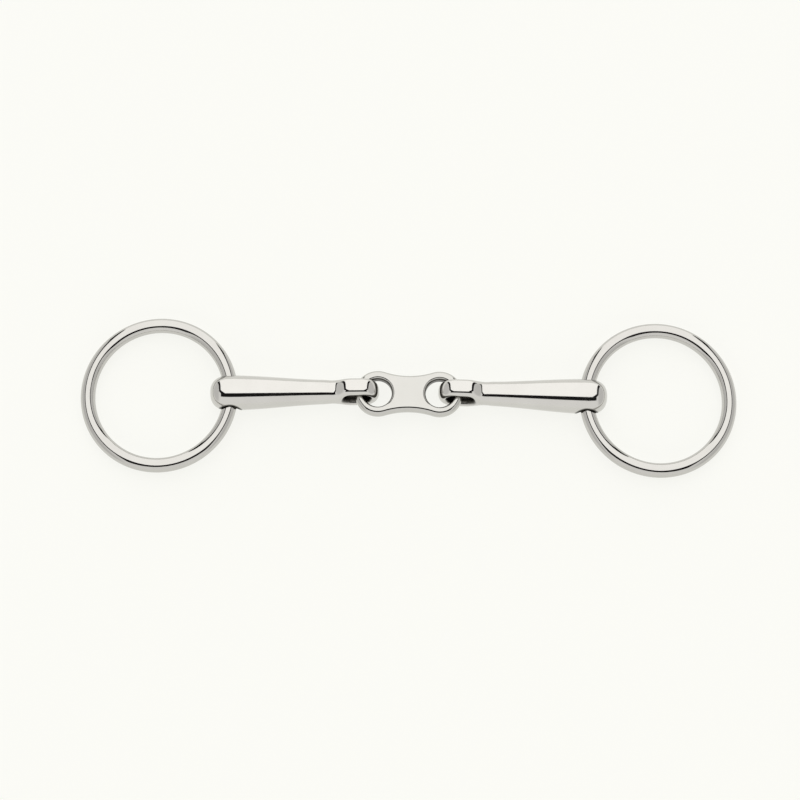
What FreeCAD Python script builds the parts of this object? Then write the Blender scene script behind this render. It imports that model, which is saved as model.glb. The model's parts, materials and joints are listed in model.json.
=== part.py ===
"""French-link loose-ring snaffle bit, laid out straight on a flat surface.

Five loose pieces: two round rings, two tapered cannons and one dog-bone link plate.
Row frame in millimetres: +X along the mouthpiece, +Y across it, +Z up, and the
origin under the middle of the link plate, on the surface that the bit lies on.
"""

import FreeCAD
import Part
import math
import os

from FreeCAD import Vector

# Driving dimensions, in millimetres
MOUTH_WIDTH = 140.0        # usable mouthpiece width, measured between the rings
RING_OUTSIDE = 65.0        # outside diameter of a ring
WIRE = 6.0                 # diameter of the ring's round bar
BORE = 8.2                 # hole in the cannon that the ring runs through
BORE_LIP = 0.5             # rounding of the bore's two mouths
BORE_DROP = 0.8            # how far the bore's axis lies below the cannon's

CANNON_END_R = 7.2         # cannon's largest radius, at the bore
CANNON_NECK_R = 4.95       # cannon's smallest radius, beside the eye
END_LENGTH = 8.3           # from the bore's axis to the tip of the domed end
END_SQUARENESS = 2.5       # exponent of the dome's superellipse: 2 is an ellipse
SWELL_FROM = 30.0          # where the neck starts to swell, from the middle of the link
SWELL_TO = 74.0            # where it reaches its full radius
ROOT_START = 36.0          # where the cannon starts to round down into the eye's root
ROOT_LENGTH = 8.9          # length of that rounding
ROOT_SQUARENESS = 2.2

HOLE_SPACING = 25.3        # between the link's two holes
LINK_HOLE = 11.5           # diameter of each link hole
LOBE_R = 9.5               # outside radius of the link's round ends
WAIST = 15.1               # width of the link at its middle
LINK_THICK = 5.4
LINK_OUTER_ROUND = 2.3     # rounding of the link's outer edges
LINK_HOLE_ROUND = 1.4      # rounding of the link's hole edges

EYE_HEIGHT = 14.4          # outside height of the cannon's eye
EYE_WIDTH = 7.2            # width of the eye across Y
EYE_WALL = 3.8             # thickness of the eye's bar, seen from the side
EYE_CROWN = 0.6            # share of that thickness on the bar's outer, deeper side
EYE_TIP = 12.05            # eye's tip, from the middle of the link
EYE_STRAIGHT = 4.2         # straight stretch of the eye's oval
EYE_ROLL = 10.0            # degrees that the eye's top leans towards +Y, out of square with the bore
NECK_ROUND = 2.0           # rounding where the eye meets the cannon
LIFT = 0.7                 # from the middle of an eye's lower bar up to the link, clear of its higher side
ARM_LEAN = 1.15            # degrees that each arm leans towards +Y, from its ring to its eye
LINK_SHIFT = 0.25          # how far the link lies towards +Y from the line through the bores

TAPER_STEPS = 8
DOME_POINTS = 8
SECTION_POINTS = 15
SEAM_TURN = 45.0           # turns the bar's seam clear of the bore and the eye

# Derived places
WIRE_R = WIRE / 2
RING_R = RING_OUTSIDE / 2 - WIRE_R             # radius of the ring's centre line
BORE_X = MOUTH_WIDTH / 2 + WIRE_R
AXIS_Z = CANNON_END_R                          # height of the cannons' axis
BORE_Z = AXIS_Z - BORE_DROP
HOLE_X = HOLE_SPACING / 2
EYE_R = EYE_HEIGHT / 2
EYE_HOLE_R = EYE_R - EYE_WALL
TIP_CENTRE_X = EYE_TIP + EYE_R
ROOT_CENTRE_X = TIP_CENTRE_X + EYE_STRAIGHT
LINK_BOTTOM = AXIS_Z - EYE_HOLE_R + LIFT
RING_DROOP = math.degrees(math.asin((BORE_Z - WIRE_R) / (2 * RING_R)))
RING_REACH = RING_R * math.cos(math.radians(RING_DROOP))   # from the bore to the ring's centre
RING_CENTRE_X = BORE_X + RING_REACH
LINK_Y = RING_REACH * math.sin(math.radians(ARM_LEAN)) + LINK_SHIFT

X, Y, Z = Vector(1, 0, 0), Vector(0, 1, 0), Vector(0, 0, 1)


def ring():
    """The right ring: a round bar bent into a circle, its far side on the surface."""
    hoop = Part.makeTorus(RING_R, WIRE_R, Vector(BORE_X + RING_R, 0, BORE_Z), Z)
    hoop.rotate(Vector(BORE_X, 0, BORE_Z), Y, RING_DROOP)
    return hoop


def spline(points):
    """A smooth edge in the XY plane through the given (x, radius) points."""
    curve = Part.BSplineCurve()
    curve.interpolate([Vector(x, r, 0) for x, r in points])
    return curve.toShape()


def dome(centre_x, length, radius, squareness):
    """Points along a superellipse, from full radius at centre_x to the tip on the axis."""
    angles = [math.pi / 2 * i / (DOME_POINTS - 1) for i in range(DOME_POINTS)]
    power = 2 / squareness
    return [(centre_x + length * math.sin(a) ** power,
             radius * abs(math.cos(a)) ** power if a < math.pi / 2 else 0.0) for a in angles]


def bar_radius(x):
    """Cannon's radius along its slow S-shaped swelling."""
    share = (x - SWELL_FROM) / (SWELL_TO - SWELL_FROM)
    return CANNON_NECK_R + (CANNON_END_R - CANNON_NECK_R) * share * share * (3 - 2 * share)


def cannon_bar():
    """The swelling bar with a dome at each end, turned about its own axis."""
    root_dome = dome(ROOT_START, -ROOT_LENGTH, bar_radius(ROOT_START), ROOT_SQUARENESS)
    outer_dome = dome(BORE_X, END_LENGTH, bar_radius(BORE_X), END_SQUARENESS)
    run = (BORE_X - ROOT_START) / TAPER_STEPS
    stations = [ROOT_START + run * i for i in range(TAPER_STEPS + 1)]
    profile = spline(root_dome[:0:-1] + [(x, bar_radius(x)) for x in stations] + outer_dome[1:])
    axis = Part.makeLine(Vector(BORE_X + END_LENGTH, 0, 0), Vector(ROOT_START - ROOT_LENGTH, 0, 0))
    bar = Part.Face(Part.Wire([profile, axis])).revolve(Vector(0, 0, 0), X, 360)
    bar.rotate(Vector(0, 0, 0), X, SEAM_TURN)
    return bar


def half_oval(middle, depth):
    """Half of a bar section's outline: half an ellipse, depth above (or below) its middle."""
    points = []
    for i in range(SECTION_POINTS):
        turn = math.pi * i / (SECTION_POINTS - 1)
        points.append(middle + Y * (EYE_WIDTH / 2 * math.cos(turn)) + Z * (depth * math.sin(turn)))
    curve = Part.BSplineCurve()
    curve.interpolate(points)
    return curve.toShape()


def eye_section(centre):
    """Section of the eye's bar above a point: a deep half ellipse outside, a flat one inside."""
    crown = EYE_WALL * EYE_CROWN
    middle = centre + Z * (EYE_R - crown)
    return Part.Face(Part.Wire([half_oval(middle, crown), half_oval(middle, crown - EYE_WALL)]))


def eye():
    """The upright oval eye at the cannon's inner end, closed round the link's rim."""
    tip, root = Vector(TIP_CENTRE_X, 0, 0), Vector(ROOT_CENTRE_X, 0, 0)
    tip_bend = eye_section(tip).revolve(tip, Y, -180)
    root_bend = eye_section(root).revolve(root, Y, 180)
    top = eye_section(tip).extrude(root - tip)
    bottom = top.mirror(Vector(0, 0, 0), Z)
    loop = tip_bend.fuse([root_bend, top, bottom]).removeSplitter()
    loop.rotate(Vector(0, 0, 0), X, -EYE_ROLL)
    return loop


def neck_edges(shape):
    """Edges where the eye's bar runs into the cannon's root, away from the eye's hole."""
    hole_end = ROOT_CENTRE_X + EYE_HOLE_R
    found = []
    for edge in shape.Edges:
        box = edge.BoundBox
        tilted = box.ZLength > 0.1 and box.YLength > 0.1
        if box.XMin > hole_end - 0.2 and box.XMax < ROOT_START and tilted:
            found.append(edge)
    return found


def cannon():
    """The right cannon: bar and eye in one piece, with the ring's bore across its outer end."""
    blank = cannon_bar().fuse(eye())
    blank = blank.makeFillet(NECK_ROUND, neck_edges(blank))
    drill = Part.makeCylinder(BORE / 2, 4 * CANNON_END_R, Vector(BORE_X, -2 * CANNON_END_R, -BORE_DROP), Y)
    bored = blank.cut(drill).Solids[0]
    lips = []
    for edge in bored.Edges:
        box = edge.BoundBox
        if abs(box.Center.x - BORE_X) < BORE and 0.1 < box.XLength < 2 * BORE:
            lips.append(edge)
    bored = bored.makeFillet(BORE_LIP, lips)
    bored.translate(Z * AXIS_Z)
    return bored


def link():
    """The dog-bone plate: two round lobes, a hollow waist, and a hole in each lobe."""
    half_waist = WAIST / 2
    waist_r = (HOLE_X**2 + half_waist**2 - LOBE_R**2) / (2 * (LOBE_R - half_waist))
    waist_y = half_waist + waist_r
    share = LOBE_R / (LOBE_R + waist_r)
    join = Vector(HOLE_X * (1 - share), waist_y * share, 0)
    corners = {(i, j): Vector(i * join.x, j * join.y, 0) for i in (-1, 1) for j in (-1, 1)}
    edges = []
    for side in (-1, 1):
        tip = Vector(side * (HOLE_X + LOBE_R), 0, 0)
        edges.append(Part.Arc(corners[side, -1], tip, corners[side, 1]).toShape())
        middle = Vector(0, side * half_waist, 0)
        edges.append(Part.Arc(corners[-1, side], middle, corners[1, side]).toShape())
    outline = Part.Wire(Part.sortEdges(edges)[0])
    plate = Part.Face(outline).extrude(Z * LINK_THICK)
    plate = plate.makeFillet(LINK_OUTER_ROUND, [e for e in plate.Edges if e.BoundBox.ZLength < 0.1])
    for side in (-1, 1):
        plate = plate.cut(Part.makeCylinder(LINK_HOLE / 2, LINK_THICK, Vector(side * HOLE_X, 0, 0)))
    rims = []
    for edge in plate.Edges:
        box = edge.BoundBox
        if box.ZLength < 0.1 and abs(box.XLength - LINK_HOLE) < 0.1:
            rims.append(edge)
    plate = plate.makeFillet(LINK_HOLE_ROUND, rims)
    plate.translate(Vector(0, LINK_Y, LINK_BOTTOM))
    return plate


def lean(shape):
    """Turn a piece of the right arm about the ring's middle, so that the eye moves to +Y."""
    shape.rotate(Vector(RING_CENTRE_X, 0, 0), Z, -ARM_LEAN)
    return shape


def main():
    """Build every piece and write one STEP file for each."""
    os.makedirs("parts", exist_ok=True)
    right_ring = lean(ring())
    right_cannon = lean(cannon())
    pieces = {
        "left_ring": right_ring.mirror(Vector(0, 0, 0), X),
        "right_ring": right_ring,
        "left_cannon": right_cannon.mirror(Vector(0, 0, 0), X),
        "right_cannon": right_cannon,
        "link_plate": link(),
    }
    for name, shape in pieces.items():
        solid = shape.Solids[0]
        solid.exportStep(f"parts/{name}.step")
        print(f"{name}: {len(shape.Solids)} solid, valid {solid.isValid()}, {solid.Volume:.1f} mm3")


main()
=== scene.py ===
"""A French-link loose-ring snaffle bit in polished stainless steel, on a pale studio table."""

import json
import logging
import math
from dataclasses import dataclass, field
from enum import Enum
from typing import Any, Callable

import bpy
import numpy as np
from mathutils import Matrix, Vector


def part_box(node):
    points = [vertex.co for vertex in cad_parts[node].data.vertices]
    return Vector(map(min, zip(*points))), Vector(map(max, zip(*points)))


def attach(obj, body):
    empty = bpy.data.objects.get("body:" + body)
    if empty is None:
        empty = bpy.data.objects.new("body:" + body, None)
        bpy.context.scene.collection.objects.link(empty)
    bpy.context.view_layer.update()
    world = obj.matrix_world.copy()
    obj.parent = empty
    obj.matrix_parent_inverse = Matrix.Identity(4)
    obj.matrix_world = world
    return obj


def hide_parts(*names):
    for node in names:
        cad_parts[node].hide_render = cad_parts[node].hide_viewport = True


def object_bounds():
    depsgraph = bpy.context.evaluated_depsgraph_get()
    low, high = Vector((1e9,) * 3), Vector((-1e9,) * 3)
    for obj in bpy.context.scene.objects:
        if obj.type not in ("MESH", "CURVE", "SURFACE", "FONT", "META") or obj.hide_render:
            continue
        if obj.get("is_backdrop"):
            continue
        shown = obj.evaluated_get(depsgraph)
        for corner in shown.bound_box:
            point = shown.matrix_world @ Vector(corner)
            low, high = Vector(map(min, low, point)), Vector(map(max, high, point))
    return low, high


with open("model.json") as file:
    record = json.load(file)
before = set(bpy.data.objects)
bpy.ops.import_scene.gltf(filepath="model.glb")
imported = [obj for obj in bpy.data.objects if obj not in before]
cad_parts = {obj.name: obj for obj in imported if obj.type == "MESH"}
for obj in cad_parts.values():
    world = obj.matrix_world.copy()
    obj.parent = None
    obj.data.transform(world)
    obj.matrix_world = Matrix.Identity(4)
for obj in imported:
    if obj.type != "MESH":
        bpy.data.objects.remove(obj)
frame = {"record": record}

log = logging.getLogger("snaffle_bit")

MM = 0.001
HOLE_SHADE_NAME = "unbuffed"       # mesh attribute: 1 where painted shade darkens the holes
LEAST_SLOPE = 1e-6             # floor for a field's squared slope, which is divided by
LEAST_MOVE = 1e-12             # floor for the length of a move, which is divided by
Points = np.ndarray
Solid = Callable[[Points], np.ndarray]


class Side(Enum):
    """Which half of the bit a piece belongs to; the value is the sign of its X."""

    LEFT = -1
    RIGHT = 1

    @property
    def word(self) -> str:
        """The side's name as the frame's nodes and bodies spell it."""
        return self.name.lower()


class Blend(Enum):
    """How two solid shapes meet."""

    JOIN = 1
    CUT = -1


# ---------------------------------------------------------------- colours and nodes


def linear(hex_colour: str) -> tuple[float, float, float, float]:
    """Turn an sRGB hex colour into the linear RGBA that the shaders take.

    Args:
        hex_colour: six hex digits, such as "d8d5cf".

    Returns:
        Linear red, green, blue and an alpha of 1.
    """
    parts = [int(hex_colour[i:i + 2], 16) / 255 for i in (0, 2, 4)]
    lin = [c / 12.92 if c <= 0.04045 else ((c + 0.055) / 1.055) ** 2.4 for c in parts]
    return (lin[0], lin[1], lin[2], 1.0)


def add_node(tree: bpy.types.NodeTree, kind: str, inputs: dict[Any, Any] | None = None,
             **settings: Any) -> bpy.types.Node:
    """Add a node, set its settings, and set or link its inputs.

    Args:
        tree: the node tree that gets the node.
        kind: the node's type name.
        inputs: input name or index to a value, or to an output socket that is linked in.
        settings: the node's own properties, such as operation="MULTIPLY".

    Returns:
        The new node.
    """
    node = tree.nodes.new(kind)
    for key, value in settings.items():
        setattr(node, key, value)
    for key, value in (inputs or {}).items():
        if isinstance(value, bpy.types.NodeSocket):
            tree.links.new(value, node.inputs[key])
        else:
            node.inputs[key].default_value = value
    return node


# ---------------------------------------------------------------- finishes


@dataclass(frozen=True)
class PolishedSteel:
    """Stainless steel, buffed bright: a neutral mirror that is faintly uneven.

    The buffing wheel leaves soft waves a few millimetres long, which bend the reflections,
    and hairlines along the bar that only show as a slight spread of the highlights.
    """

    name: str
    bright: str                # reflected colour of the clean metal
    dull: str                  # reflected colour where the buffing is thinner
    roughness: float           # least roughness
    haze: float                # how much rougher the dull patches are
    wave_mm: float             # length of the buffing waves
    wave_depth_mm: float       # how deep those waves look to the light
    unbuffed: str = "4c4a46"   # painted shade: dark colour for the insides of holes
    unbuffed_roughness: float = 0.32
    hair_mm: float = 0.35      # hairline spacing: real ones are finer, drawn coarse to show
    hair_depth_mm: float = 0.0012
    hair_squeeze: float = 0.04  # scale along the bar, which draws the hairlines out
    patch_mm: float = 9.0      # size of the dull patches
    patch_least: float = 0.35  # noise value at which the haze starts
    patch_most: float = 0.7    # noise value at which it is full

    def build(self) -> bpy.types.Material:
        """Make the material.

        Returns:
            A node material that reads Object coordinates only.
        """
        mat = bpy.data.materials.new(self.name)
        mat.use_nodes = True
        tree = mat.node_tree
        tree.nodes.clear()
        where = add_node(tree, "ShaderNodeTexCoord").outputs["Object"]
        patches = add_node(tree, "ShaderNodeTexNoise",
                           {"Vector": where, "Scale": 1 / (self.patch_mm * MM),
                            "Detail": 3.0, "Roughness": 0.55})
        tint = add_node(tree, "ShaderNodeMix", {0: patches.outputs["Fac"], 6: linear(self.bright),
                                                7: linear(self.dull)}, data_type="RGBA")
        polish = add_node(tree, "ShaderNodeMapRange",
                          {"Value": patches.outputs["Fac"],
                           "From Min": self.patch_least, "From Max": self.patch_most,
                           "To Min": self.roughness, "To Max": self.roughness + self.haze})
        # Painted shade: a mesh attribute darkens the colour and raises the roughness inside holes
        reach = add_node(tree, "ShaderNodeAttribute", attribute_name=HOLE_SHADE_NAME).outputs["Fac"]
        colour = add_node(tree, "ShaderNodeMix", {0: reach, 6: tint.outputs[2],
                                                  7: linear(self.unbuffed)}, data_type="RGBA")
        rough = add_node(tree, "ShaderNodeMix", {0: reach, 2: polish.outputs["Result"],
                                                 3: self.unbuffed_roughness})
        waves = add_node(tree, "ShaderNodeTexNoise",
                         {"Vector": where, "Scale": 1 / (self.wave_mm * MM),
                          "Detail": 1.0, "Roughness": 0.4})
        along = add_node(tree, "ShaderNodeMapping",
                         {"Vector": where, "Scale": (self.hair_squeeze, 1.0, 1.0)})
        hairs = add_node(tree, "ShaderNodeTexNoise",
                         {"Vector": along.outputs["Vector"], "Scale": 1 / (self.hair_mm * MM),
                          "Detail": 2.0})
        soft = add_node(tree, "ShaderNodeBump", {"Height": waves.outputs["Fac"], "Strength": 1.0,
                                                 "Distance": self.wave_depth_mm * MM})
        fine = add_node(tree, "ShaderNodeBump", {"Height": hairs.outputs["Fac"], "Strength": 1.0,
                                                 "Distance": self.hair_depth_mm * MM,
                                                 "Normal": soft.outputs["Normal"]})
        metal = add_node(tree, "ShaderNodeBsdfPrincipled",
                         {"Base Color": colour.outputs[2], "Metallic": 1.0,
                          "Roughness": rough.outputs[0], "Normal": fine.outputs["Normal"]})
        add_node(tree, "ShaderNodeOutputMaterial", {"Surface": metal.outputs["BSDF"]})
        return mat


@dataclass(frozen=True)
class TablePaper:
    """Matt white studio paper: a soft, even, faintly warm white with no gloss.

    Part of its white is a glow of its own, so that shadows on it stay pale.
    """

    name: str = "matt_white_table_paper"
    colour: str = "747472"
    glow_colour: str = "fffffa"
    glow: float = 0.815
    roughness: float = 0.9
    specular: float = 0.1
    tooth_mm: float = 0.6      # spacing of the paper's tooth
    tooth_depth_mm: float = 0.01
    tooth_strength: float = 0.1

    def build(self) -> bpy.types.Material:
        """Make the paper's material.

        Returns:
            A diffuse white with a very faint paper tooth.
        """
        mat = bpy.data.materials.new(self.name)
        mat.use_nodes = True
        tree = mat.node_tree
        tree.nodes.clear()
        where = add_node(tree, "ShaderNodeTexCoord").outputs["Object"]
        tooth = add_node(tree, "ShaderNodeTexNoise",
                         {"Vector": where, "Scale": 1 / (self.tooth_mm * MM)})
        bump = add_node(tree, "ShaderNodeBump",
                        {"Height": tooth.outputs["Fac"], "Strength": self.tooth_strength,
                         "Distance": self.tooth_depth_mm * MM})
        paper = add_node(tree, "ShaderNodeBsdfPrincipled",
                         {"Base Color": linear(self.colour), "Roughness": self.roughness,
                          "Specular IOR Level": self.specular, "Normal": bump.outputs["Normal"],
                          "Emission Color": linear(self.glow_colour),
                          "Emission Strength": self.glow})
        add_node(tree, "ShaderNodeOutputMaterial", {"Surface": paper.outputs["BSDF"]})
        return mat


RING_STEEL = PolishedSteel("polished_stainless_round_bar", bright="cac9c6", dull="c1bfbc",
                           roughness=0.05, haze=0.05, wave_mm=7.0, wave_depth_mm=0.006)
MOUTHPIECE_STEEL = PolishedSteel("buffed_forged_stainless", bright="d2d1ce", dull="c9c7c4",
                                 roughness=0.045, haze=0.06, wave_mm=6.0, wave_depth_mm=0.010)
LINK_STEEL = PolishedSteel("tumbled_stainless_plate", bright="c9c8c5", dull="c1c0bc",
                           roughness=0.05, haze=0.04, wave_mm=4.0, wave_depth_mm=0.008)


# ---------------------------------------------------------------- solid shapes as fields


def ramp(value: np.ndarray, none: float, full: float) -> np.ndarray:
    """Smooth ramp from 0 to 1.

    Args:
        value: the values to turn into shares.
        none: the value that gives 0.
        full: the value that gives 1, above or below the other.

    Returns:
        Shares from 0 to 1.
    """
    share = np.clip((value - none) / (full - none), 0, 1)
    return share * share * (3 - 2 * share)


def superellipse(u: np.ndarray, v: np.ndarray, power: float) -> np.ndarray:
    """Length of (u, v) by a power above 2, whose unit line is a squarish circle.

    Args:
        u: first coordinate.
        v: second coordinate.
        power: 2 is a true circle, and more is squarer.

    Returns:
        The length.
    """
    return (np.abs(u) ** power + np.abs(v) ** power) ** (1 / power)


def meet(a: np.ndarray, b: np.ndarray, soft: float, how: Blend) -> np.ndarray:
    """Join two fields, or cut the second from the first, with a soft rounding where they meet.

    Args:
        a: the first solid's field, negative inside.
        b: the second solid's field.
        soft: width of the rounding, in the field's own length.
        how: join them, or cut b away from a.

    Returns:
        The field of the result.
    """
    sign = how.value
    other = b * sign
    rest = np.minimum(a, other) if how is Blend.JOIN else np.maximum(a, other)
    near = np.clip(soft - np.abs(a - other), 0, None) / soft
    return rest - sign * near**3 * soft / 6


def round_edge(a: np.ndarray, b: np.ndarray, radius: float) -> np.ndarray:
    """Cross two fields and round the edge between them to a true radius.

    Args:
        a: the first solid's field, negative inside.
        b: the second solid's field.
        radius: radius of the rounding.

    Returns:
        The field of what the two solids share.
    """
    u, v = a + radius, b + radius
    outside = np.hypot(np.clip(u, 0, None), np.clip(v, 0, None))
    return np.minimum(np.maximum(u, v), 0) + outside - radius


@dataclass
class Skin:
    """Turns a solid's field into an even mesh of quads that lie exactly on its surface.

    The hole-shade field says, from 0 to 1, how much painted shade each point gets in the holes,
    and is kept on the mesh as an attribute.
    """

    solid: Solid
    hidden: Solid
    low: Vector
    high: Vector
    pitch: float               # side of a grid cell
    settle: int = 4            # rounds of evening out
    landings: int = 3          # steps that a point takes to the surface
    ease: float = 0.5          # share of the way a point moves towards its neighbours
    slope_share: float = 0.02  # step for measuring a slope, as a share of the pitch
    room_cells: float = 2.2    # room that the grid leaves round the solid, in cells

    @classmethod
    def over(cls, node: str, solid: Solid, hidden: Solid, pitch: float) -> "Skin":
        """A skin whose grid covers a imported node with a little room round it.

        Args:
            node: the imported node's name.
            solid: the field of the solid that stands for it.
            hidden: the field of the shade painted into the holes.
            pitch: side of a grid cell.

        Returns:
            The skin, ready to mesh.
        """
        low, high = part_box(node)
        room = Vector((1, 1, 1)) * cls.room_cells * pitch
        return cls(solid, hidden, Vector(low) - room, Vector(high) + room, pitch)

    def slope(self, at: Points) -> Points:
        """The field's gradient at some points, by central differences.

        Args:
            at: an n by 3 array of points.

        Returns:
            An n by 3 array.
        """
        step = self.pitch * self.slope_share
        out = np.empty_like(at)
        for axis in range(3):
            move = np.zeros(3)
            move[axis] = step
            out[:, axis] = (self.solid(at + move) - self.solid(at - move)) / (2 * step)
        return out

    def land(self, at: Points) -> Points:
        """Move points straight onto the surface.

        Args:
            at: points near the surface.

        Returns:
            The same points, on the surface.
        """
        for _ in range(self.landings):
            lean = self.slope(at)
            size = np.maximum((lean**2).sum(axis=1), LEAST_SLOPE)
            move = lean * (self.solid(at) / size)[:, None]
            far = np.linalg.norm(move, axis=1, keepdims=True)
            at = at - move * np.minimum(1, self.pitch / np.maximum(far, LEAST_MOVE))
        return at

    def cells(self) -> tuple[Points, np.ndarray]:
        """Put one point in each cell the surface crosses, and a quad over each crossed edge.

        Returns:
            The points, and an m by 4 array of point numbers that turn outwards.
        """
        counts = [int(math.ceil((end - start) / self.pitch)) + 1
                  for start, end in zip(self.low, self.high)]
        axes = [start + self.pitch * np.arange(n) for start, n in zip(self.low, counts)]
        grid = np.stack(np.meshgrid(*axes, indexing="ij"), axis=-1)
        value = self.solid(grid.reshape(-1, 3)).reshape(counts)
        inside = value < 0
        total = np.zeros([n - 1 for n in counts] + [3])
        hits = np.zeros([n - 1 for n in counts])
        crossings = []
        for axis in range(3):
            first = [slice(None)] * 3
            second = [slice(None)] * 3
            first[axis], second[axis] = slice(None, -1), slice(1, None)
            a, b = value[tuple(first)], value[tuple(second)]
            crossed = inside[tuple(first)] != inside[tuple(second)]
            index = np.argwhere(crossed)
            share = a[crossed] / (a[crossed] - b[crossed])
            spot = np.stack([axes[k][index[:, k]] for k in range(3)], axis=1)
            spot[:, axis] += share * self.pitch
            one, two = [k for k in range(3) if k != axis]
            for i in (0, 1):
                for j in (0, 1):
                    cell = index.copy()
                    cell[:, one] -= i
                    cell[:, two] -= j
                    np.add.at(total, tuple(cell.T), spot)
                    np.add.at(hits, tuple(cell.T), 1)
            crossings.append((axis, index, inside[tuple(first)][crossed]))
        number = np.full(hits.shape, -1)
        used = hits > 0
        number[used] = np.arange(used.sum())
        points = total[used] / hits[used][:, None]
        quads = []
        for axis, index, starts_inside in crossings:
            one, two = (axis + 1) % 3, (axis + 2) % 3
            corners = []
            for i, j in ((0, 0), (1, 0), (1, 1), (0, 1)):
                cell = index.copy()
                cell[:, one] -= i
                cell[:, two] -= j
                corners.append(number[tuple(cell.T)])
            quad = np.stack(corners, axis=1)
            quad[~starts_inside] = quad[~starts_inside][:, ::-1]
            quads.append(quad)
        return points, np.concatenate(quads)

    def relax(self, points: Points, quads: np.ndarray) -> Points:
        """Even out the mesh by moving each point to the middle of its neighbours' edges.

        Args:
            points: the mesh's points.
            quads: its faces.

        Returns:
            The moved points, not yet back on the surface.
        """
        total = np.zeros_like(points)
        hits = np.zeros(len(points))
        for k in range(4):
            a, b = quads[:, k], quads[:, (k + 1) % 4]
            np.add.at(total, a, points[b])
            np.add.at(total, b, points[a])
            np.add.at(hits, a, 1)
            np.add.at(hits, b, 1)
        return (1 - self.ease) * points + self.ease * total / hits[:, None]

    def mesh(self, name: str, side: Side = Side.RIGHT) -> bpy.types.Mesh:
        """Build the mesh, mirrored in X for the left side.

        Args:
            name: the mesh's name.
            side: the half of the bit that it is for.

        Returns:
            A smooth closed mesh whose normals are the solid's own.
        """
        points, quads = self.cells()
        points = self.land(points)
        for _ in range(self.settle):
            points = self.land(self.relax(points, quads))
        normals = self.slope(points)
        normals /= np.linalg.norm(normals, axis=1, keepdims=True)
        unbuffed = self.hidden(points)
        if side is Side.LEFT:
            points, normals = points * (-1, 1, 1), normals * (-1, 1, 1)
            quads = quads[:, ::-1]
        data = bpy.data.meshes.new(name)
        data.from_pydata(points.tolist(), [], quads.tolist())
        data.shade_smooth()
        data.normals_split_custom_set_from_vertices(normals.tolist())
        kept = data.attributes.new(HOLE_SHADE_NAME, "FLOAT", "POINT")
        kept.data.foreach_set("value", unbuffed.astype(np.float32))
        return data


def place(name: str, mesh: bpy.types.Mesh, node: str, body: str,
          finish: bpy.types.Material) -> bpy.types.Object:
    """Put a finished mesh in the scene in place of its node, riding on its body.

    Args:
        name: the piece's name.
        mesh: its mesh, already where it belongs.
        node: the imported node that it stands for.
        body: the body that it rides on.
        finish: its material.

    Returns:
        The new object.
    """
    mesh.materials.clear()
    mesh.materials.append(finish)
    piece = bpy.data.objects.new(name, mesh)
    bpy.context.scene.collection.objects.link(piece)
    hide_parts(node)
    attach(piece, body)
    spans = np.ptp([vertex.co for vertex in mesh.vertices], axis=0) / MM
    log.info("%s: %d faces, %.1f x %.1f x %.1f mm, rides on %s",
             name, len(mesh.polygons), *spans, body)
    return piece


# ---------------------------------------------------------------- the bit's pieces


def hinge(name: str) -> tuple[Vector, Vector]:
    """Where one of the frame's hinges is, and the way its axis runs.

    Args:
        name: the joint's name in the record.

    Returns:
        A point on the hinge in metres, and its axis as a unit vector.
    """
    joint = next(j for j in frame["record"]["behaviour"]["joints"] if j["name"] == name)
    return Vector(joint["pos_m"]), Vector(joint["axis"]).normalized()


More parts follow.
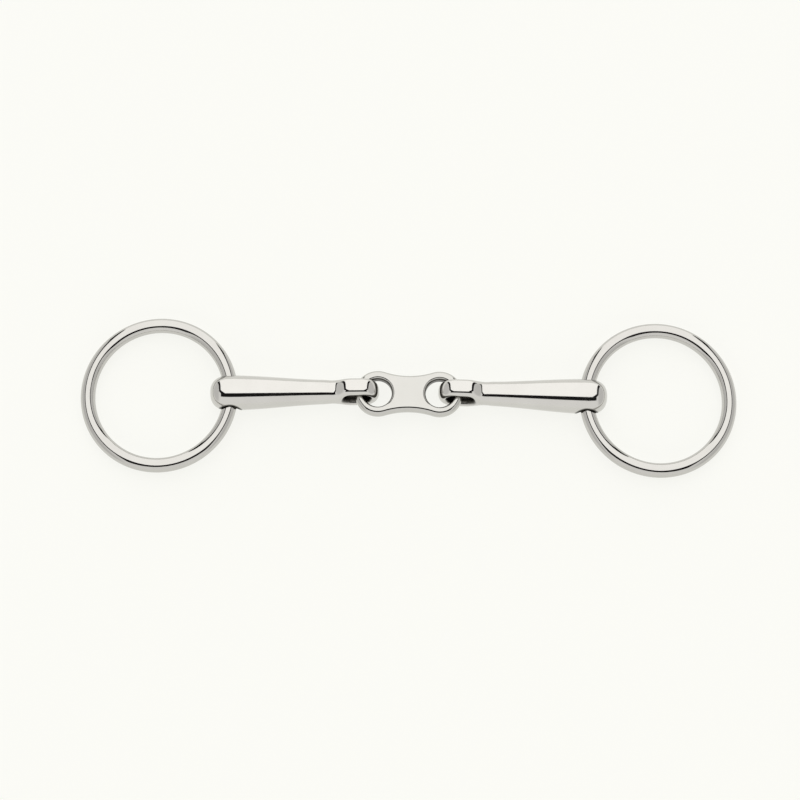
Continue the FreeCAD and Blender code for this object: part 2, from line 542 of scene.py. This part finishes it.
@dataclass
class LooseRing:
    """A ring of round bar, run through the cannon's bore, with its far side on the table."""

    side: Side
    outside: float = 65 * MM
    bar: float = 6 * MM
    steps_round: int = 320     # mesh steps round the ring
    bar_steps: int = 64        # mesh steps round the bar

    def tree(self) -> bpy.types.NodeTree:
        """Node tree that sweeps a round bar round a circle and sets it in its place.

        Returns:
            The geometry tree, with named inputs for the ring's sizes.
        """
        group = bpy.data.node_groups.new("bend_bar_into_ring", "GeometryNodeTree")
        shape = group.interface
        shape.new_socket("Geometry", in_out="OUTPUT", socket_type="NodeSocketGeometry")
        kinds = {"Ring radius": "Float", "Bar radius": "Float", "Steps round": "Int",
                 "Bar steps": "Int", "Seat": "Vector", "Turn": "Vector", "Finish": "Material"}
        for name, kind in kinds.items():
            shape.new_socket(name, in_out="INPUT", socket_type=f"NodeSocket{kind}")
        given = add_node(group, "NodeGroupInput").outputs
        line = add_node(group, "GeometryNodeCurvePrimitiveCircle",
                        {"Resolution": given["Steps round"], "Radius": given["Ring radius"]})
        section = add_node(group, "GeometryNodeCurvePrimitiveCircle",
                           {"Resolution": given["Bar steps"], "Radius": given["Bar radius"]})
        hoop = add_node(group, "GeometryNodeCurveToMesh",
                        {"Curve": line.outputs["Curve"], "Profile Curve": section.outputs["Curve"]})
        smooth = add_node(group, "GeometryNodeSetShadeSmooth", {"Geometry": hoop.outputs["Mesh"]})
        reach = add_node(group, "ShaderNodeCombineXYZ", {"X": given["Ring radius"]})
        from_bore = add_node(group, "GeometryNodeTransform",
                             {"Geometry": smooth.outputs["Geometry"],
                              "Translation": reach.outputs["Vector"]})
        seated = add_node(group, "GeometryNodeTransform",
                          {"Geometry": from_bore.outputs["Geometry"], "Translation": given["Seat"],
                           "Rotation": given["Turn"]})
        real = add_node(group, "GeometryNodeRealizeInstances",
                        {"Geometry": seated.outputs["Geometry"]})
        dressed = add_node(group, "GeometryNodeSetMaterial",
                           {"Geometry": real.outputs["Geometry"], "Material": given["Finish"]})
        add_node(group, "NodeGroupOutput", {"Geometry": dressed.outputs["Geometry"]})
        return group

    def mesh(self, finish: bpy.types.Material) -> bpy.types.Mesh:
        """Run the tree once and keep its result as a plain mesh.

        Args:
            finish: the ring's material.

        Returns:
            The ring's mesh, in its place at rest.
        """
        ring_r = (self.outside - self.bar) / 2
        bore, axis = hinge(f"{self.side.word}_ring_swing")
        droop = math.asin((bore.z - self.bar / 2) / (2 * ring_r))
        turn = droop if self.side is Side.RIGHT else math.pi - droop
        lean = math.atan2(axis.x, abs(axis.y)) * self.side.value
        sizes = {"Ring radius": ring_r, "Bar radius": self.bar / 2,
                 "Steps round": self.steps_round, "Bar steps": self.bar_steps,
                 "Seat": bore, "Turn": (0.0, turn, lean), "Finish": finish}
        holder = bpy.data.objects.new("ring_holder", bpy.data.meshes.new("ring_holder"))
        bpy.context.scene.collection.objects.link(holder)
        modifier = holder.modifiers.new("ring", "NODES")
        modifier.node_group = self.tree()
        for item in modifier.node_group.interface.items_tree:
            if item.in_out == "INPUT":
                modifier[item.identifier] = sizes[item.name]
        graph = bpy.context.evaluated_depsgraph_get()
        mesh = bpy.data.meshes.new_from_object(holder.evaluated_get(graph), depsgraph=graph)
        holder.modifiers.clear()
        bpy.data.objects.remove(holder)
        return mesh

    def build(self, finish: bpy.types.Material) -> bpy.types.Object:
        """Make the ring and put it on its body.

        Args:
            finish: the ring's material.

        Returns:
            The finished ring.
        """
        word = self.side.word
        return place(f"{word}_loose_ring", self.mesh(finish), f"{word}_ring", f"{word}_loop",
                     finish)


@dataclass
class Cannon:
    """A mouthpiece arm: a swelling bar, bored across one end, with an upright eye at the other."""

    side: Side
    bore_x: float = 73 * MM
    bore_r: float = 4.1 * MM
    bore_drop: float = 0.8 * MM    # how far the bore's axis lies below the arm's
    bore_lip: float = 0.6 * MM
    bore_dull: tuple[float, float] = (0.45 * MM, 1.0 * MM)  # past its wall: full painted shade, no painted shade
    end_r: float = 7.2 * MM
    end_length: float = 8.3 * MM
    end_power: float = 2.5
    neck_r: float = 4.95 * MM
    swell_from: float = 30.0 * MM
    swell_to: float = 74.0 * MM
    root_x: float = 36.0 * MM      # where the bar starts to round down into the eye's root
    root_length: float = 8.9 * MM
    root_power: float = 2.2
    eye_tip: float = 12.05 * MM
    eye_r: float = 7.2 * MM
    eye_straight: float = 4.2 * MM
    eye_wall: float = 3.8 * MM
    eye_half_width: float = 3.6 * MM
    eye_roll: float = 10.0         # degrees that the eye's top leans towards +Y
    eye_crown: float = 0.6         # share of the wall on the bar's outer, deeper side
    eye_power: float = 2.3
    eye_dull: tuple[float, float] = (0.2 * MM, 1.1 * MM)    # past its opening, as for the bore
    neck_blend: float = 5.0 * MM
    pitch: float = 0.34 * MM

    def bar(self, x: np.ndarray, off: np.ndarray) -> np.ndarray:
        """The turned bar's field: a slow S-shaped swell between two squarish domes.

        Args:
            x: distance along the arm from the middle of the bit.
            off: distance from the arm's own axis.

        Returns:
            The field, negative inside.
        """
        station = np.clip(x, self.root_x, self.bore_x)
        share = (station - self.swell_from) / (self.swell_to - self.swell_from)
        radius = self.neck_r + (self.end_r - self.neck_r) * share**2 * (3 - 2 * share)
        past_end = np.clip(x - self.bore_x, 0, None) / self.end_length
        past_root = np.clip(self.root_x - x, 0, None) / self.root_length
        power = np.where(past_root > 0, self.root_power, self.end_power)
        return radius * (superellipse(past_end + past_root, off / radius, power) - 1)

    def eye_section(self, x: np.ndarray, y: np.ndarray,
                    z: np.ndarray) -> tuple[np.ndarray, np.ndarray]:
        """Where points lie in the section of the eye's bar, with the eye's own lean taken out.

        Args:
            x, y, z: coordinates from the middle of the bit, at the arm's axis height.

        Returns:
            Distance from the middle of the eye's opening, and distance across the bar.
        """
        roll = math.radians(self.eye_roll)
        height = z * math.cos(roll) + y * math.sin(roll)
        across = y * math.cos(roll) - z * math.sin(roll)
        start = self.eye_tip + self.eye_r
        along = x - np.clip(x, start, start + self.eye_straight)
        return np.hypot(along, height), across

    def eye(self, x: np.ndarray, y: np.ndarray, z: np.ndarray) -> np.ndarray:
        """The eye's field: an oval loop of bar, deep and crowned outside and flatter inside.

        Args:
            x, y, z: coordinates from the middle of the bit, at the arm's axis height.

        Returns:
            The field, negative inside.
        """
        reach, across = self.eye_section(x, y, z)
        crown = self.eye_wall * self.eye_crown
        out = reach - (self.eye_r - crown)
        depth = np.where(out > 0, crown, self.eye_wall - crown)
        share = superellipse(out / depth, across / self.eye_half_width, self.eye_power)
        return (share - 1) * crown

    def straighten(self, at: Points) -> tuple[np.ndarray, np.ndarray, np.ndarray]:
        """Turn points into the arm's own coordinates, with the bore along Y.

        Args:
            at: points in the row's frame, on the right-hand side.

        Returns:
            X, Y and Z arrays, with X from the middle of the bit and Z from the arm's axis.
        """
        bore, axis = hinge("right_ring_swing")
        height = hinge("right_cannon_swivel")[0].z
        near_x, near_y = at[:, 0] - bore.x, at[:, 1] - bore.y
        x = self.bore_x - near_x * axis.y + near_y * axis.x
        y = -near_x * axis.x - near_y * axis.y
        return x, y, at[:, 2] - height

    def past_bore(self, x: np.ndarray, z: np.ndarray) -> np.ndarray:
        """Distance outwards from the bore's wall.

        Args:
            x: distance along the arm from the middle of the bit.
            z: height above the arm's axis.

        Returns:
            Distance, negative inside the bore.
        """
        return np.hypot(x - self.bore_x, z + self.bore_drop) - self.bore_r

    def solid(self, at: Points) -> np.ndarray:
        """The whole arm's field.

        Args:
            at: points in the row's frame, on the right-hand side.

        Returns:
            The field, negative inside the steel.
        """
        x, y, z = self.straighten(at)
        arm = meet(self.bar(x, np.hypot(y, z)), self.eye(x, y, z), self.neck_blend, Blend.JOIN)
        return meet(arm, self.past_bore(x, z), self.bore_lip, Blend.CUT)

    def hidden(self, at: Points) -> np.ndarray:
        """How much painted shade points get: inside the bore and the eye.

        Args:
            at: points on the arm's surface.

        Returns:
            0 in the open to 1 deep in a hole.
        """
        x, y, z = self.straighten(at)
        past_opening = self.eye_section(x, y, z)[0] - (self.eye_r - self.eye_wall)
        return np.maximum(ramp(self.past_bore(x, z), self.bore_dull[1], self.bore_dull[0]),
                          ramp(past_opening, self.eye_dull[1], self.eye_dull[0]))

    def build(self, finish: bpy.types.Material) -> bpy.types.Object:
        """Make the arm and put it on its body.

        Args:
            finish: the arm's material.

        Returns:
            The finished arm.
        """
        word = self.side.word
        skin = Skin.over("right_cannon", self.solid, self.hidden, self.pitch)
        return place(f"{word}_mouthpiece_cannon", skin.mesh(f"{word}_cannon_skin", self.side),
                     f"{word}_cannon", f"{word}_arm", finish)


@dataclass
class LinkPlate:
    """The dog-bone plate in the middle, with softly rounded rims and a hole in each lobe."""

    hole_x: float = 12.65 * MM
    hole_r: float = 5.75 * MM
    lobe_r: float = 9.5 * MM
    half_waist: float = 7.55 * MM
    thick: float = 5.4 * MM
    bottom: float = 4.5 * MM
    outer_round: float = 2.3 * MM
    hole_round: float = 1.4 * MM
    hole_dull: tuple[float, float] = (0.1 * MM, 0.7 * MM)   # past its wall: full painted shade, no painted shade
    pitch: float = 0.26 * MM

    def from_middle(self, at: Points) -> tuple[np.ndarray, np.ndarray]:
        """Distances from the plate's middle, along the bit and across it.

        Args:
            at: points in the row's frame.

        Returns:
            X and Y arrays, both positive.
        """
        middle_y = hinge("right_cannon_swivel")[0].y
        return np.abs(at[:, 0]), np.abs(at[:, 1] - middle_y)

    def outline(self, x: np.ndarray, y: np.ndarray) -> np.ndarray:
        """Distance from the plate's outline: two lobe arcs and two hollow waist arcs.

        Args:
            x, y: coordinates from the plate's middle, both taken positive.

        Returns:
            Distance, negative inside.
        """
        spread = self.hole_x**2 + self.half_waist**2 - self.lobe_r**2
        hollow_r = spread / (2 * (self.lobe_r - self.half_waist))
        hollow_y = self.half_waist + hollow_r
        lobe = np.hypot(x - self.hole_x, y) - self.lobe_r
        hollow = hollow_r - np.hypot(x, y - hollow_y)
        return np.where(x / self.hole_x + y / hollow_y < 1, hollow, lobe)

    def solid(self, at: Points) -> np.ndarray:
        """The plate's field.

        Args:
            at: points in the row's frame.

        Returns:
            The field, negative inside the steel.
        """
        x, y = self.from_middle(at)
        slab = np.abs(at[:, 2] - self.bottom - self.thick / 2) - self.thick / 2
        rim = round_edge(self.outline(x, y), slab, self.outer_round)
        hole = round_edge(self.hole_r - np.hypot(x - self.hole_x, y), slab, self.hole_round)
        return np.maximum(rim, hole)

    def hidden(self, at: Points) -> np.ndarray:
        """How much painted shade points get: on the walls of the two holes.

        Args:
            at: points on the plate's surface.

        Returns:
            0 in the open to 1 on a hole's wall.
        """
        x, y = self.from_middle(at)
        past_wall = np.hypot(x - self.hole_x, y) - self.hole_r
        return ramp(past_wall, self.hole_dull[1], self.hole_dull[0])

    def build(self, finish: bpy.types.Material) -> bpy.types.Object:
        """Make the plate and put it on its body.

        Args:
            finish: the plate's material.

        Returns:
            The finished plate.
        """
        skin = Skin.over("link_plate", self.solid, self.hidden, self.pitch)
        return place("middle_link_plate", skin.mesh("link_plate_skin"), "link_plate", "link",
                     finish)


# ---------------------------------------------------------------- studio


@dataclass
class Studio:
    """A pale table in a tent of soft light, with a long lens looking almost straight down."""

    elevation: float = 76.0        # how steeply the camera looks down, in degrees
    lens: float = 100.0            # focal length, in millimetres
    sensor: float = 36.0           # width of the camera's sensor, in millimetres
    field_width: float = 327.8 * MM
    off_centre: tuple[float, float] = (3.56 * MM, 1.56 * MM)
    roll: float = 0.6              # degrees that the camera is turned about its own axis
    table_reach: float = 3.0       # half the table's width, in metres
    roof: float = 1.42             # brightness of the roof
    card: float = 1.0              # brightness of the front card
    side_card: float = 0.74        # brightness of the cards at the sides
    dark: float = 0.012            # brightness of the gaps
    gap_low: float = 49.0          # height of the front card's top edge, in degrees
    gap_high: float = 74.0         # height of the roof's front edge
    roof_side: float = 33.0        # how far the roof reaches to each side of straight up
    roof_flare: float = 0.8        # how much wider the roof grows towards the back
    corner_cut: float = 0.42       # how much of the roof's front corners is cut away
    seam: float = 0.3              # width of the dark gap round the roof
    side_fade: float = 0.6         # stretch over which the front card fades to the side cards
    roof_blur: float = 0.02        # softness of the roof's edge
    card_blur: float = 0.03        # softness of the cards' edges
    horizon: float = 0.02          # least height, which keeps the roof's plan finite
    tint: str = "fffefb"           # colour of the tent's light
    paper: TablePaper = field(default_factory=TablePaper)

    def table(self) -> None:
        """Lay the table's sheet under the bit."""
        mesh = bpy.data.meshes.new("table_sheet")
        corners = [(x * self.table_reach, y * self.table_reach, 0)
                   for x, y in ((-1, -1), (1, -1), (1, 1), (-1, 1))]
        mesh.from_pydata(corners, [], [(0, 1, 2, 3)])
        mesh.materials.append(self.paper.build())
        sheet = bpy.data.objects.new("table_sheet", mesh)
        bpy.context.scene.collection.objects.link(sheet)
        sheet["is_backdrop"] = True

    def brightness(self, tree: bpy.types.NodeTree) -> bpy.types.NodeSocket:
        """Draw the tent over the sky: a roof, a front card, side cards, and the gaps between.

        Args:
            tree: the world's node tree.

        Returns:
            The socket that gives the light's strength in each direction.
        """
        sky = add_node(tree, "ShaderNodeTexCoord").outputs["Generated"]
        way = add_node(tree, "ShaderNodeSeparateXYZ", {0: sky}).outputs

        def maths(operation: str, *values: Any) -> bpy.types.NodeSocket:
            """Work one sum out of numbers and sockets.

            Args:
                operation: the sum's name.
                values: its numbers and sockets, in order.

            Returns:
                The socket that gives the answer.
            """
            node = add_node(tree, "ShaderNodeMath", dict(enumerate(values)), operation=operation)
            return node.outputs[0]

        def step(value: bpy.types.NodeSocket, start: float, end: float) -> bpy.types.NodeSocket:
            """Smooth 0 to 1 step of a value between two limits.

            Args:
                value: the socket that gives the value.
                start: where the step leaves 0.
                end: where it reaches 1.

            Returns:
                The socket that gives the share.
            """
            node = add_node(tree, "ShaderNodeMapRange",
                            {"Value": value, "From Min": start, "From Max": end},
                            interpolation_type="SMOOTHSTEP")
            return node.outputs["Result"]

        def fade(share: bpy.types.NodeSocket, below: Any, above: Any) -> bpy.types.NodeSocket:
            """Mix two brightnesses by a share.

            Args:
                share: the socket that gives the share.
                below: brightness, or its socket, at a share of 0.
                above: brightness, or its socket, at a share of 1.

            Returns:
                The socket that gives the mix.
            """
            return add_node(tree, "ShaderNodeMix", {0: share, 2: below, 3: above}).outputs[0]

        # Plan position on a roof one unit up: sideways, and forward towards the lens
        up = maths("MAXIMUM", way["Z"], self.horizon)
        forward = maths("DIVIDE", maths("MULTIPLY", way["Y"], -1.0), up)
        flare = maths("MULTIPLY", maths("POWER", maths("ABSOLUTE", way["Y"]), 2.0), self.roof_flare)
        spread = maths("SQRT", maths("ADD", maths("POWER", up, 2.0), flare))
        aside = maths("DIVIDE", maths("ABSOLUTE", way["X"]), spread)

        # Distances past each edge, negative on the roof's side of it
        side = math.tan(math.radians(self.roof_side))
        front = 1 / math.tan(math.radians(self.gap_high))
        card_top = 1 / math.tan(math.radians(self.gap_low))
        cut = maths("SUBTRACT", maths("ADD", aside, forward), side + front - self.corner_cut)
        past_corner = maths("MULTIPLY", cut, math.sqrt(0.5))
        past_side = maths("SUBTRACT", aside, side)
        past_front = maths("SUBTRACT", forward, front)
        past_card_top = maths("SUBTRACT", forward, card_top)
        off_roof = maths("MAXIMUM", maths("MAXIMUM", past_side, past_front), past_corner)
        past_seam = maths("MINIMUM", maths("SUBTRACT", off_roof, self.seam),
                          maths("MAXIMUM", past_card_top, past_side))
        on_card = maths("MAXIMUM", past_seam, past_card_top)

        inner = fade(step(off_roof, -self.roof_blur, self.roof_blur), self.roof, self.dark)
        outer = fade(step(aside, side, side + self.side_fade), self.card, self.side_card)
        return fade(step(on_card, -self.card_blur, self.card_blur), inner, outer)

    def light(self) -> None:
        """Hang the light tent round the bit, as the world's own light."""
        world = bpy.data.worlds.new("light_tent")
        world.use_nodes = True
        bpy.context.scene.world = world
        tree = world.node_tree
        tree.nodes.clear()
        glow = add_node(tree, "ShaderNodeBackground",
                        {"Color": linear(self.tint), "Strength": self.brightness(tree)})
        add_node(tree, "ShaderNodeOutputWorld", {"Surface": glow.outputs["Background"]})

    def camera(self, middle: Vector) -> None:
        """Set the camera above and a little in front of the bit.

        Args:
            middle: the middle of the bit, which the picture is framed round.
        """
        lens = bpy.data.cameras.new("camera")
        lens.lens = self.lens
        lens.sensor_width = self.sensor
        distance = self.field_width * self.lens / self.sensor
        camera = bpy.data.objects.new("camera", lens)
        tilt = math.radians(90 - self.elevation)
        turn = Matrix.Rotation(tilt, 4, "X") @ Matrix.Rotation(math.radians(self.roll), 4, "Z")
        shift = Vector((-self.off_centre[0], -self.off_centre[1], distance))
        camera.matrix_world = Matrix.Translation(middle + turn.to_3x3() @ shift) @ turn
        bpy.context.scene.collection.objects.link(camera)
        bpy.context.scene.camera = camera

    def build(self) -> None:
        """Set up the table, the light, the camera and plain colour without a film look."""
        self.table()
        self.light()
        low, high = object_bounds()
        middle = (Vector(low) + Vector(high)) / 2
        self.camera(middle)
        bpy.context.scene.view_settings.view_transform = "Standard"
        log.info("studio ready, camera %.1f degrees up", self.elevation)


def main() -> None:
    """Build every piece of the bit, then the studio; each piece's size is logged as it is placed.
    """
    logging.basicConfig(level=logging.INFO, format="%(name)s: %(message)s")
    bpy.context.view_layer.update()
    ring_steel = RING_STEEL.build()
    mouthpiece_steel = MOUTHPIECE_STEEL.build()
    for side in Side:
        LooseRing(side).build(ring_steel)
        Cannon(side).build(mouthpiece_steel)
    LinkPlate().build(LINK_STEEL.build())
    Studio().build()


if __name__ == "__main__":
    main()
